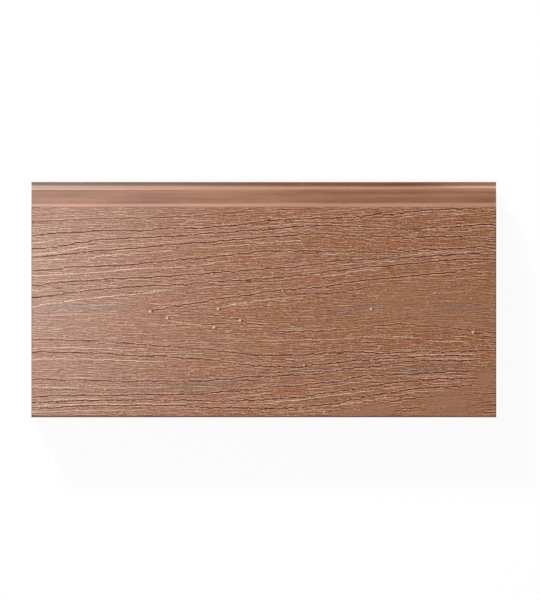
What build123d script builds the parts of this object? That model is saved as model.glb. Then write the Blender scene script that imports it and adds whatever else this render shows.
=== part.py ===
"""Composite cladding board: one extruded plank of wood-plastic composite, cut to a short length.

It lies on its back with the show face up. X runs along the board, Y across it, and Z through it.
The tongue is on the +Y edge and the groove for the next board's tongue on the -Y edge.
The origin is the middle of the back face, below the middle of the overall width.
"""

import os

from build123d import *

# Overall sizes, in millimetres
BOARD_LENGTH = 308.0
BOARD_WIDTH = 156.0  # from the lower edge to the tip of the tongue
BOARD_THICKNESS = 21.0  # from the back to the show face

# Tongue edge, stepping down from the show face: shoulder, land, step, tongue
SHOULDER_RUN = 1.9
SHOULDER_DROP = 3.4
LAND_WIDTH = 9.1
STEP_RUN = 1.9
STEP_DROP = 3.4
TONGUE_REACH = 3.3  # from the foot of the step to the tip
TONGUE_ROOT_THICKNESS = 5.0
TONGUE_BARB = 0.9  # how much the front of the tongue rises from its root to its tip

# Groove edge, cut to take the tongue of the next board
GROOVE_CLEARANCE = 0.4  # between the tongue and each wall of the groove
GROOVE_SPARE_DEPTH = 0.3  # left beyond the tip of a tongue that is pushed home
BACK_LIP_SETBACK = 1.0  # the back lip is shorter, so that the joint closes on the front

# Hollow cells that run the whole length
CELL_COUNT = 6
CELL_ROUND = 2.5
FACE_WALL = 5.0
BACK_WALL = 4.0
WEB = 5.0  # between two cells
EDGE_WALL = 4.5  # between the outer cells and the worked edges

# Rounding of the arrises
FACE_ROUND = 1.0  # lower edge of the show face
CREST_ROUND = 1.3  # crest of the shoulder and of the step
FOOT_ROUND = 1.1  # foot of the shoulder and of the step
GROOVE_ROUND = 0.7  # inside corners of the groove and under the tongue
TIP_ROUND = 0.4  # tip of the tongue
BACK_ROUND = 1.0  # long edges of the back

# Levels above the back
LAND_LEVEL = BOARD_THICKNESS - SHOULDER_DROP
TONGUE_FRONT_ROOT = LAND_LEVEL - STEP_DROP
TONGUE_FRONT_TIP = TONGUE_FRONT_ROOT + TONGUE_BARB
TONGUE_BACK = TONGUE_FRONT_ROOT - TONGUE_ROOT_THICKNESS
GROOVE_TOP = TONGUE_FRONT_TIP + GROOVE_CLEARANCE
GROOVE_FLOOR = TONGUE_BACK - GROOVE_CLEARANCE

# Places across the board, from its lower edge
STEP_FOOT = BOARD_WIDTH - TONGUE_REACH
STEP_CREST = STEP_FOOT - STEP_RUN
SHOULDER_FOOT = STEP_CREST - LAND_WIDTH
SHOULDER_CREST = SHOULDER_FOOT - SHOULDER_RUN
GROOVE_DEPTH = STEP_RUN + TONGUE_REACH + GROOVE_SPARE_DEPTH
# The front lip is bevelled to lie along the step of the board below.
LIP_BEVEL_RUN = STEP_RUN * (LAND_LEVEL - GROOVE_TOP) / STEP_DROP


def rounded(face, corners, radius):
    """The face with the named corners rounded."""
    vertices = [face.vertices().sort_by_distance(corner)[0] for corner in corners]
    return fillet(vertices, radius)


def outer_section():
    """The closed outline of the board, drawn with its lower edge at x = 0 and its back at y = 0."""
    face_low = (0, BOARD_THICKNESS)
    shoulder_crest = (SHOULDER_CREST, BOARD_THICKNESS)
    shoulder_foot = (SHOULDER_FOOT, LAND_LEVEL)
    step_crest = (STEP_CREST, LAND_LEVEL)
    step_foot = (STEP_FOOT, TONGUE_FRONT_ROOT)
    tip_front = (BOARD_WIDTH, TONGUE_FRONT_TIP)
    tip_back = (BOARD_WIDTH, TONGUE_BACK)
    tongue_heel = (STEP_CREST, TONGUE_BACK)
    back_high = (STEP_CREST, 0)
    back_low = (BACK_LIP_SETBACK, 0)
    back_lip = (BACK_LIP_SETBACK, GROOVE_FLOOR)
    groove_floor = (GROOVE_DEPTH, GROOVE_FLOOR)
    groove_top = (GROOVE_DEPTH, GROOVE_TOP)
    lip_inside = (LIP_BEVEL_RUN, GROOVE_TOP)
    lip_end = (0, LAND_LEVEL)

    outline = Polyline(
        face_low,
        shoulder_crest,
        shoulder_foot,
        step_crest,
        step_foot,
        tip_front,
        tip_back,
        tongue_heel,
        back_high,
        back_low,
        back_lip,
        groove_floor,
        groove_top,
        lip_inside,
        lip_end,
        close=True,
    )
    section = make_face(outline)
    section = rounded(section, [face_low], FACE_ROUND)
    section = rounded(section, [shoulder_crest, step_crest], CREST_ROUND)
    section = rounded(section, [shoulder_foot, step_foot], FOOT_ROUND)
    section = rounded(section, [tongue_heel, groove_floor, groove_top], GROOVE_ROUND)
    section = rounded(section, [tip_front, tip_back], TIP_ROUND)
    return rounded(section, [back_high, back_low], BACK_ROUND)


def hollow_cells():
    """The row of cells, in the same place as the outer section."""
    row_start = GROOVE_DEPTH + EDGE_WALL
    row_end = SHOULDER_FOOT - EDGE_WALL
    pitch = (row_end - row_start + WEB) / CELL_COUNT
    cell = RectangleRounded(pitch - WEB, BOARD_THICKNESS - FACE_WALL - BACK_WALL, CELL_ROUND)
    cell_level = (BACK_WALL + BOARD_THICKNESS - FACE_WALL) / 2
    first_centre = row_start + (pitch - WEB) / 2
    centres = [(first_centre + i * pitch, cell_level) for i in range(CELL_COUNT)]
    return [Pos(*centre) * cell for centre in centres]


def cladding_board():
    """The section pushed along the board's length, about the middle of its width and length."""
    section = outer_section() - hollow_cells()
    centred = Pos(-BOARD_WIDTH / 2, 0) * section
    return extrude(Plane.YZ * centred, amount=BOARD_LENGTH / 2, both=True)


board = cladding_board()
board.label = "cladding_board"
print("volume", round(board.volume), "mm3", "box", board.bounding_box().size)

os.makedirs("parts", exist_ok=True)
export_step(board, "parts/cladding_board.step")
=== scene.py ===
# %% [markdown]
# # A composite cladding board
#
# The board is one length of extruded wood-plastic composite, lying on its back. Its show face has been
# pressed hot with a wood grain, and the stepped tongue along the far edge is left smooth.
# This lesson loads the CAD board as a fixed frame, builds a finer skin of the same section over it, presses
# the grain into that skin, and gives each worked surface its own finish.

import math

import bmesh
import bpy
import numpy as np
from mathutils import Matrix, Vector
from mathutils.geometry import tessellate_polygon


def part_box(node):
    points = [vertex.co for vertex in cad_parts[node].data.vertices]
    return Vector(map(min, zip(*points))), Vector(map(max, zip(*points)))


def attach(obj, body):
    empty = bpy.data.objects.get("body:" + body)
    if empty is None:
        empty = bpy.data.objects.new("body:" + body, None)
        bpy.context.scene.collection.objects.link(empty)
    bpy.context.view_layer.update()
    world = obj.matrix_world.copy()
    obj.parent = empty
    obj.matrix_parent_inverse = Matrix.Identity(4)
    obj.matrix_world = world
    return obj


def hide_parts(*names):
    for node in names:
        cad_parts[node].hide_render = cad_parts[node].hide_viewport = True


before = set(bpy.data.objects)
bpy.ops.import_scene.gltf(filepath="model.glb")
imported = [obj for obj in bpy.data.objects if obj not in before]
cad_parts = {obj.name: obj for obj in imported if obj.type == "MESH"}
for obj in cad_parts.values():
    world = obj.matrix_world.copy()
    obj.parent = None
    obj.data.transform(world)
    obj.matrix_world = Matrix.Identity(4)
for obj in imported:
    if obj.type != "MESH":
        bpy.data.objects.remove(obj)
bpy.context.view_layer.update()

MM = 0.001
board_low, board_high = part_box("cladding_board")
LENGTH, WIDTH, THICKNESS = (side / MM for side in board_high - board_low)
print("CAD board", round(LENGTH, 2), round(WIDTH, 2), round(THICKNESS, 2), "mm")

# %% [markdown]
# ## The section
#
# An extruded board has the same section all along, so the skin starts as a closed line across the board.
# It could be drawn as a curve object and swept, but then the face couldn't have finer steps than the rest.
# Here the corners are named sizes, the same as the CAD board's, and a short function rounds them. Only the
# show face lies a little lower, by as much as the highest torn fibre stands up from it.

# %% Corners of the section
FACE_SINK = 0.30
SHOULDER_RUN = 1.9
SHOULDER_DROP = 3.4
LAND_WIDTH = 9.1
STEP_RUN = 1.9
STEP_DROP = 3.4
TONGUE_REACH = 3.3
TONGUE_ROOT_THICKNESS = 5.0
TONGUE_BARB = 0.9
GROOVE_CLEARANCE = 0.4
GROOVE_SPARE_DEPTH = 0.3
BACK_LIP_SETBACK = 1.0
FACE_ROUND = 1.0
CREST_ROUND = 1.3
FOOT_ROUND = 1.1
GROOVE_ROUND = 0.7
TIP_ROUND = 0.4
BACK_ROUND = 1.0

FACE_LEVEL = THICKNESS - FACE_SINK
LAND_LEVEL = THICKNESS - SHOULDER_DROP
TONGUE_FRONT = LAND_LEVEL - STEP_DROP
TONGUE_BACK = TONGUE_FRONT - TONGUE_ROOT_THICKNESS
GROOVE_TOP = TONGUE_FRONT + TONGUE_BARB + GROOVE_CLEARANCE
GROOVE_FLOOR = TONGUE_BACK - GROOVE_CLEARANCE
GROOVE_DEPTH = STEP_RUN + TONGUE_REACH + GROOVE_SPARE_DEPTH
LIP_BEVEL_RUN = STEP_RUN * (LAND_LEVEL - GROOVE_TOP) / STEP_DROP

LOWER_EDGE = -WIDTH / 2
TONGUE_TIP = WIDTH / 2
STEP_FOOT = TONGUE_TIP - TONGUE_REACH
STEP_CREST = STEP_FOOT - STEP_RUN
SHOULDER_FOOT = STEP_CREST - LAND_WIDTH
SHOULDER_CREST = SHOULDER_FOOT - SHOULDER_RUN

# Each corner is (across the board, above the back, radius), with the show face first.
section_corners = [
    (LOWER_EDGE, FACE_LEVEL, FACE_ROUND),
    (SHOULDER_CREST, FACE_LEVEL, CREST_ROUND),
    (SHOULDER_FOOT, LAND_LEVEL, FOOT_ROUND),
    (STEP_CREST, LAND_LEVEL, CREST_ROUND),
    (STEP_FOOT, TONGUE_FRONT, FOOT_ROUND),
    (TONGUE_TIP, TONGUE_FRONT + TONGUE_BARB, TIP_ROUND),
    (TONGUE_TIP, TONGUE_BACK, TIP_ROUND),
    (STEP_CREST, TONGUE_BACK, GROOVE_ROUND),
    (STEP_CREST, 0, BACK_ROUND),
    (LOWER_EDGE + BACK_LIP_SETBACK, 0, BACK_ROUND),
    (LOWER_EDGE + BACK_LIP_SETBACK, GROOVE_FLOOR, 0),
    (LOWER_EDGE + GROOVE_DEPTH, GROOVE_FLOOR, GROOVE_ROUND),
    (LOWER_EDGE + GROOVE_DEPTH, GROOVE_TOP, GROOVE_ROUND),
    (LOWER_EDGE + LIP_BEVEL_RUN, GROOVE_TOP, 0),
    (LOWER_EDGE, LAND_LEVEL, 0),
]
ARC_STEP = math.radians(12)


def rounded(corners):
    """The closed line through the corners, each turned into an arc of its own radius."""
    points = []
    for i, (across, level, radius) in enumerate(corners):
        corner = Vector((across, level))
        if not radius:
            points.append(corner)
            continue
        back = (Vector(corners[i - 1][:2]) - corner).normalized()
        on = (Vector(corners[(i + 1) % len(corners)][:2]) - corner).normalized()
        half = back.angle(on) / 2
        centre = corner + (back + on).normalized() * radius / math.sin(half)
        spoke = corner + back * radius / math.tan(half) - centre
        turn = math.copysign(math.pi - 2 * half, back.cross(on))
        steps = max(2, round(abs(turn) / ARC_STEP))
        for k in range(steps + 1):
            a = -turn * k / steps
            x = spoke.x * math.cos(a) - spoke.y * math.sin(a)
            y = spoke.x * math.sin(a) + spoke.y * math.cos(a)
            points.append(centre + Vector((x, y)))
    return points


section = rounded(section_corners)
print("section line", len(section), "points")

# %% [markdown]
# ## Rows and columns
#
# The show face needs steps of a third of a millimetre across the grain, and about one and a half along it, to
# carry the grooves as real shape. The rest of the board is plain and takes wide steps. A row is one line along
# the board. Where a fine row meets a wide one, faces with more than four corners join them, so no triangles are
# spent where nothing happens. The first and last columns lie close to the ends, where the saw eased the arris.

# %% Lay out the rows and columns
FACE_ROW = 0.335  # between two rows on the show face
LAND_ROW = 0.7  # between two rows on the smooth steps
COLUMNS = 211
WIDE_STEP = 7  # columns in one wide step
ARRIS = 0.5  # from the sawn end to where the face starts
NEARLY = 1e-4

inner_columns = np.linspace(-LENGTH / 2 + ARRIS, LENGTH / 2 - ARRIS, COLUMNS - 2)
x_fine = np.concatenate(([-LENGTH / 2], inner_columns, [LENGTH / 2]))

rows = []
for here, after in zip(section, section[1:] + section[:1]):
    on_face = min(here.y, after.y) > FACE_LEVEL - NEARLY
    on_steps = here.x > SHOULDER_CREST - CREST_ROUND and min(here.y, after.y) > TONGUE_FRONT - NEARLY
    gap = FACE_ROW if on_face else LAND_ROW if on_steps else WIDTH
    steps = max(1, math.ceil((after - here).length / gap))
    rows += [here.lerp(after, k / steps) for k in range(steps)]
face_rows = [i for i, place in enumerate(rows) if place.y > FACE_LEVEL - NEARLY]
y_face = np.array([rows[i].x for i in face_rows])
print(len(rows), "rows, of which", len(face_rows), "on the face from", y_face[0].round(2), "to", y_face[-1].round(2))

# %% [markdown]
# ## The grain
#
# The grain on such a board comes off an embossing roller: long torn grooves that follow the figure of flat-sawn
# timber, with a pointed heart in the middle. A noise texture gives grain, but not this grain. So the main
# grooves are drawn as a few points each on the 540 by 600 picture, and a function cuts each one
# with a steep wall on the tongue side and a slow rise on the other, broken into short torn lengths.

# %% Where the long grooves run
PICTURE_LEFT, PICTURE_TOP = 31.35, 181.9  # the board's corner in the picture, in pixels
PICTURE_WIDE, PICTURE_HIGH = 464.9, 235.3  # the board in the picture, in pixels


def on_board(points):
    """Picture points as places on the board: along it and across it, in millimetres."""
    spots = np.array(points, float)
    along = (spots[:, 0] - PICTURE_LEFT) / PICTURE_WIDE * LENGTH - LENGTH / 2
    across = WIDTH / 2 - (spots[:, 1] - PICTURE_TOP) / PICTURE_HIGH * WIDTH
    return along, across


# Depth in millimetres, then the points, from the tongue edge down.
long_grooves = [
    (0.15, [(31, 221.5), (55, 221), (85, 219.5), (95, 218.5), (150, 218.4), (158, 217), (172, 217.4), (205, 215),
            (222, 213.3), (255, 211.3), (280, 210), (300, 209.4), (312, 208.3)]),
    (0.34, [(31, 236.8), (40, 234.5), (55, 233), (85, 232), (95, 230.5), (130, 230), (150, 231), (163, 228.6),
            (182, 227.6), (205, 228.3), (209, 227), (235, 225.5), (250, 223), (260, 221.3), (280, 219.7),
            (306, 219.3), (310, 218.3), (333, 219), (338, 217.5), (362, 216.8), (378, 214.5), (392, 214.4),
            (412, 211.6), (432, 209.6), (465, 209.4)]),
    (0.34, [(31, 248.6), (48, 248), (60, 246.5), (70, 244), (85, 242.2), (89, 240.8), (104, 239.3), (118, 238.5),
            (150, 237.6), (165, 236.5), (188, 235.5), (196, 233.8), (222, 232.5), (247, 230.8), (272, 229.4),
            (290, 227.5), (305, 226), (333, 225.3), (345, 226.2), (385, 227), (406, 229.5), (420, 229.3),
            (424, 228), (450, 227.3), (465, 225.5), (485, 224.5), (496, 225.6)]),
    (0.32, [(31, 258), (40, 256.5), (58, 255.3), (63, 254), (82, 252.5), (100, 250.5), (125, 249), (150, 246.8),
            (160, 245.6), (178, 244.5), (190, 243), (217, 241.6), (225, 240.5), (247, 238.6), (268, 237),
            (290, 235.6), (312, 233.8), (328, 233.5), (352, 236), (372, 236.8), (395, 236.5), (412, 238.7),
            (420, 237.2), (460, 236.5), (478, 234.6)]),
    (0.30, [(31, 270.5), (58, 269.5), (62, 268.5), (73, 266.7), (97, 266.3), (105, 265.5), (128, 265), (142, 263),
            (165, 261.3), (178, 259.5), (200, 258.7), (211, 257), (228, 255.5), (252, 253), (260, 251.5),
            (300, 251), (315, 250.8), (323, 252), (345, 251.2), (372, 252.5), (392, 251.8), (412, 250.5),
            (430, 249.2), (455, 249), (480, 246.5), (496, 248.5)]),
    (0.32, [(31, 285.5), (38, 285.5), (43, 284), (58, 282.5), (75, 281), (98, 280.3), (103, 279), (138, 278.3),
            (142, 277.5), (175, 276), (180, 275), (205, 274), (212, 273), (236, 271.3), (260, 269.5),
            (275, 268.3), (297, 266.5), (320, 263.5), (339, 260.3), (350, 260.5), (358, 259), (390, 258.3),
            (408, 257.3), (447, 255.3), (462, 253.7), (480, 253.5)]),
    (0.30, [(31, 297.5), (55, 295.5), (75, 292.5), (95, 289.5), (112, 288), (150, 285.6), (180, 285), (195, 283.5),
            (210, 281.5), (242, 280.3), (262, 279), (285, 276.3), (300, 275.5), (325, 272.3), (348, 269.7),
            (362, 267), (390, 265.3), (407, 263.7), (433, 262.3), (445, 259.8), (478, 258.8), (496, 259.5)]),
    (0.36, [(151, 311), (157, 310.3), (171, 308), (174, 306), (182, 304.8), (195, 303.8), (203, 302.5),
            (210, 300.3), (214, 298.8), (232, 297.5), (247, 295), (260, 293), (266, 291.7), (282, 289.8),
            (308, 288.7), (326, 287), (342, 283.3), (362, 280.5), (385, 278.3), (415, 275.7), (445, 273),
            (463, 270), (478, 268.3)]),
    (0.20, [(295, 294.8), (310, 293.4), (330, 293), (342, 292.3), (362, 288.5), (375, 286.3)]),
    (0.26, [(203, 313), (213, 315), (222, 317.5), (235, 319.3), (240, 319.8), (248, 323), (258, 325), (266, 325.5)]),
    (0.22, [(200, 324.5), (212, 324.4), (222, 323.5), (236, 323.3)]),
    (0.24, [(272, 331.8), (310, 331.4), (345, 330.2), (352, 328.9), (365, 327), (378, 326), (392, 325.2),
            (402, 323.5), (409, 323.7), (420, 326.3), (437, 326), (452, 328.3), (464, 329.4), (475, 333),
            (488, 336), (496, 337.5)]),
    (0.20, [(31, 339.8), (50, 339.6), (70, 340.5), (85, 340.3), (105, 341), (120, 342.7), (135, 343.5), (148, 345),
            (168, 346.4), (188, 347.5), (212, 349.5), (228, 352), (245, 354), (262, 355.2)]),
    (0.28, [(31, 352), (45, 351.8), (60, 352.5), (92, 352.5), (115, 354.3), (135, 356), (160, 355.4), (172, 357.2),
            (188, 358.4), (207, 359.5), (220, 361), (232, 363.5), (245, 364.5), (262, 366.3), (278, 366.7),
            (296, 367.4), (318, 364.6)]),
    (0.28, [(245, 354.3), (262, 355.3), (290, 354.7), (318, 354), (335, 352.4), (350, 352), (372, 352.6),
            (388, 353.6)]),
    (0.32, [(318, 364.6), (338, 363), (352, 361), (370, 359.7), (390, 358), (410, 357), (430, 356.3), (475, 355.5)]),
    (0.24, [(388, 353.5), (405, 352), (425, 351), (450, 352), (475, 351), (488, 350.3)]),
    (0.24, [(31, 379.5), (45, 379.3), (70, 380), (95, 380.2), (118, 381.4), (140, 381), (170, 381.3), (205, 381.4),
            (218, 379.3), (237, 378), (252, 376.5), (275, 376.2), (290, 374.8), (320, 374), (324, 372.7),
            (336, 371), (350, 368.8), (365, 367.5), (381, 366), (388, 364), (408, 362), (425, 360.7),
            (455, 360.5), (480, 360)]),
    (0.26, [(31, 397.8), (45, 396.3), (60, 395.5), (110, 395.8), (140, 394.6), (190, 394.3), (205, 394),
            (218, 392.5), (235, 391.2), (250, 389.5), (265, 387.3), (272, 386.3), (296, 386.4), (301, 385.3),
            (320, 383.3), (330, 382.8), (336, 381), (350, 379.3), (355, 377.5), (370, 375.3), (390, 374.3),
            (407, 374.4), (435, 372.7), (460, 371), (478, 371)]),
    (0.26, [(31, 402.5), (50, 402), (80, 400.5), (115, 400.5), (145, 399.3), (175, 400.5), (195, 400),
            (215, 401.5), (250, 400.3), (275, 398.8), (298, 397.7), (311, 396.6), (314, 394.7), (323, 393.3),
            (335, 391.7), (350, 389.8), (362, 387.5), (387, 383.8), (408, 381.3), (430, 379.5), (478, 378.3)]),
    (0.28, [(31, 407.5), (45, 408), (62, 407.3), (66, 406.3), (95, 405.6), (135, 405.5), (175, 405.3),
            (205, 407.5), (245, 407.5), (262, 408.6), (290, 408), (308, 406.7), (326, 404.8), (338, 403),
            (352, 400.5), (360, 398), (374, 394.8), (392, 392.5), (408, 389.8), (427, 387.8), (450, 387),
            (475, 385.5)]),
    (0.26, [(325, 412), (342, 409.5), (365, 406.5), (380, 403.5), (395, 401.3), (408, 398.5), (435, 396),
            (465, 394.5), (496, 393.5)]),
    (0.20, [(393, 411.5), (400, 410), (405, 408.5), (420, 406.8)]),
    (0.24, [(430, 414.5), (437, 412.5), (455, 411.5), (472, 409.3)]),
    (0.20, [(440, 409), (455, 408), (470, 406.8), (480, 402.4), (496, 401)]),
]
print(len(long_grooves), "long grooves of", sum(len(points) for _, points in long_grooves), "points")

# %% [markdown]
# A groove isn't one smooth stroke. Seen close, it is a torn line of short runs that lie along the board, each
# stepping over to the next, some deep and some barely there. It has a steep wall on the tongue side, a short
# slope back up, and a lip of pushed-up material beyond it. A seeded random generator tears every line that way,
# so each run of the script gives the same board. Besides its height, each point of the face keeps how far off
# the nearest cut is and how deep that bites, for the painted shade in the cut and the painted highlight on its
# rims, and how pale the point is itself, for the painted highlight on a lip.

# %% Cut the long grooves
SEED = 7
RUN_SHORT, RUN_LONG = 2.5, 8.0  # length of one run of a torn line
STAIR = 0.7  # how far a run lies along the board rather than along the line
SCATTER = 0.13  # how far a run lies off the line
WALL = 0.36  # across the steep wall
SLOPE_BACK = 0.6  # from the bottom of the cut to its lip
LIP_WIDTH = 0.40
LIP_SHARE = 0.3  # highest lip, as a share of the cut's depth
RUN_OUT = 6.0  # over which a line that ends inside the board runs out
CORE = 0.85  # how far from its middle a cut is dark at all
# Painted highlight on the rims beside each cut
RIM = 1.5  # how far its pale rims reach
DEEPEST = 0.36
PRESSED = 0.5  # share of the drawn depth that the roller reached
FAR = 2.2  # a line farther off than this doesn't count

random = np.random.default_rng(SEED)
cuts, lips, painted_cut_shade, painted_rim_highlights, highlight_and_pale = (np.zeros((len(y_face), COLUMNS)) for _ in range(5))
from_cut = np.full_like(cuts, FAR)


def torn_line(along, across):
    """The columns that a torn line crosses, its place in each, the run it is in there, and how it runs out."""
    columns = np.flatnonzero((x_fine > along[0]) & (x_fine < along[-1]))
    x = x_fine[columns]
    knots = [along[0]]
    while knots[-1] < along[-1]:
        knots.append(knots[-1] + random.uniform(RUN_SHORT, RUN_LONG))
    levels = np.interp(knots, along, across)
    run = np.searchsorted(knots, x) - 1
    flat = (levels[run] + levels[run + 1]) / 2 + random.normal(0, SCATTER, len(knots))[run]
    place = STAIR * flat + (1 - STAIR) * np.interp(x, along, across)
    starts_inside = along[0] > -LENGTH / 2 + 1
    stops_inside = along[-1] < LENGTH / 2 - 1
    left = np.clip((x - along[0]) / RUN_OUT, 0, 1) if starts_inside else 1.0
    right = np.clip((along[-1] - x) / RUN_OUT, 0, 1) if stops_inside else 1.0
    return columns, place, run, np.sqrt(left * right) * np.ones(len(x))


def near(place, columns, below, above):
    """The part of the face that lies near a line, and how far each point there is above it."""
    low, high = np.searchsorted(y_face, (place.min() - below, place.max() + above))
    return (slice(low, high), columns), y_face[low:high, None] - place


def note_line(distance, amounts, window, away, value):
    """Keeps how far off the nearest line is, and its value in each amount as far as that reaches."""
    nearer = np.abs(away) < np.abs(distance[window])
    distance[window] = np.where(nearer, away, distance[window])
    for amount, reach in amounts:
        amount[window] = np.where(nearer, value * (np.abs(away) < reach), amount[window])


def cut_groove(depth, along, across):
    """Presses a torn line into the face, with a lip on its low side."""
    columns, place, run, ends = torn_line(along, across)
    window, away = near(place, columns, 3, FAR)
    bite = depth * ends * random.uniform(0.55, 1.0, run.max() + 1)[run]
    lip = bite * random.uniform(0, LIP_SHARE, run.max() + 1)[run]
    wall = np.clip(0.5 - away / WALL, 0, 1)
    back = np.clip(1 + (away + WALL / 2) / SLOPE_BACK, 0, 1)
    cuts[window] = np.minimum(cuts[window], -PRESSED * bite * wall * back)
    ridge = np.exp(-(((away + WALL / 2 + SLOPE_BACK) / LIP_WIDTH) ** 2))
    lips[window] = np.maximum(lips[window], lip * ridge)
    # Painted highlight on the lip
    highlight_and_pale[window] = np.maximum(highlight_and_pale[window], 0.25 * ridge * lip / DEEPEST)
    # Painted shade near the middle of the cut and a painted highlight on its rims, as strong as the cut is deep
    note_line(from_cut, ((painted_cut_shade, CORE), (painted_rim_highlights, RIM)), window, away, np.sqrt(bite / DEEPEST))


line_places, line_slopes, line_spans = [], [], []
for depth, points in long_grooves:
    along, across = on_board(points)
    cut_groove(depth, along, across)
    guide = np.interp(x_fine, along, across)
    line_places.append(guide)
    line_slopes.append(np.gradient(guide, x_fine))
    line_spans.append((x_fine > along[0]) & (x_fine < along[-1]))
print("deepest groove", round(-cuts.min(), 2), "mm, highest lip", round(lips.max(), 2), "mm")

# %% [markdown]
# Between the long grooves lie shorter cuts, and edges where a sheet of fibres has been pressed up. Such an edge
# is a low bank: it rises steeply towards the lower edge of the board, then sinks away again, and its crest gets
# a painted highlight, with painted shade on its flanks. Both are a few points each again.

# %% Short cuts and raised edges
# Depth in millimetres, then where the cut starts and ends in the picture.
short_cuts = [
    (0.12, (32, 223.6), (62, 223.6)), (0.15, (44, 226.6), (56, 226)), (0.18, (122, 223), (131, 222)),
    (0.18, (140, 222.5), (152, 222.5)), (0.15, (55, 237.5), (70, 237.5)), (0.15, (166, 239.8), (178, 238.8)),
    (0.18, (222, 216), (232, 216)), (0.18, (232, 215.6), (245, 215.6)), (0.12, (252, 223.5), (272, 223.5)),
    (0.12, (285, 222.5), (300, 222.5)), (0.15, (268, 227), (275, 227)), (0.20, (293, 229.5), (303, 229.5)),
    (0.20, (313, 228.8), (321, 228.8)), (0.15, (372, 217.5), (385, 217.5)), (0.15, (388, 217.8), (406, 216.5)),
    (0.15, (418, 232), (428, 231)), (0.20, (430, 232.7), (445, 232.7)), (0.20, (395, 233.5), (407, 233.5)),
    (0.15, (410, 231.5), (425, 231.5)), (0.15, (458, 239.5), (467, 238.5)), (0.20, (98, 253.5), (108, 252.5)),
    (0.15, (60, 271.3), (70, 271.3)), (0.15, (67, 284.2), (92, 284.2)), (0.18, (45, 288.5), (68, 287.4)),
    (0.20, (133, 252.3), (153, 251.4)), (0.10, (100, 281.5), (116, 281.5)), (0.10, (103, 283.5), (115, 283.5)),
    (0.24, (127, 293.5), (150, 291.5)), (0.22, (246, 243.5), (258, 243.5)), (0.18, (148, 281.7), (165, 281.7)),
    (0.12, (170, 279.5), (190, 279.5)), (0.18, (215, 285.4), (232, 285.4)), (0.20, (240, 282), (272, 281)),
    (0.20, (219, 302.5), (229, 302.5)), (0.18, (300, 253.5), (318, 253.5)), (0.20, (345, 262.5), (365, 262.5)),
    (0.22, (385, 267.5), (395, 267.5)), (0.18, (279, 280.5), (300, 279)), (0.20, (278, 296.5), (288, 296.5)),
    (0.16, (462, 281.3), (478, 281.3)), (0.16, (478, 280), (492, 280)), (0.18, (473, 273.5), (484, 273.5)),
    (0.15, (272, 334.5), (300, 334.5)), (0.16, (44, 390.2), (79, 389.5)), (0.18, (139, 358.8), (152, 358.5)),
    (0.14, (157, 384), (170, 383)), (0.14, (168, 386), (180, 384.6)), (0.15, (245, 358.5), (258, 358)),
    (0.14, (255, 373), (285, 372.5)), (0.12, (31, 365.3), (50, 365)), (0.12, (120, 372.5), (145, 372)),
    (0.18, (483, 412.5), (496, 412.3)), (0.16, (451, 277.9), (465, 277.2)), (0.15, (398, 283.1), (408, 282.8)),
    (0.20, (207, 314.2), (215, 313.2)), (0.16, (235, 381.3), (262, 379.5)),
]
for depth, *points in short_cuts:
    cut_groove(depth, *on_board(points))

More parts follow.
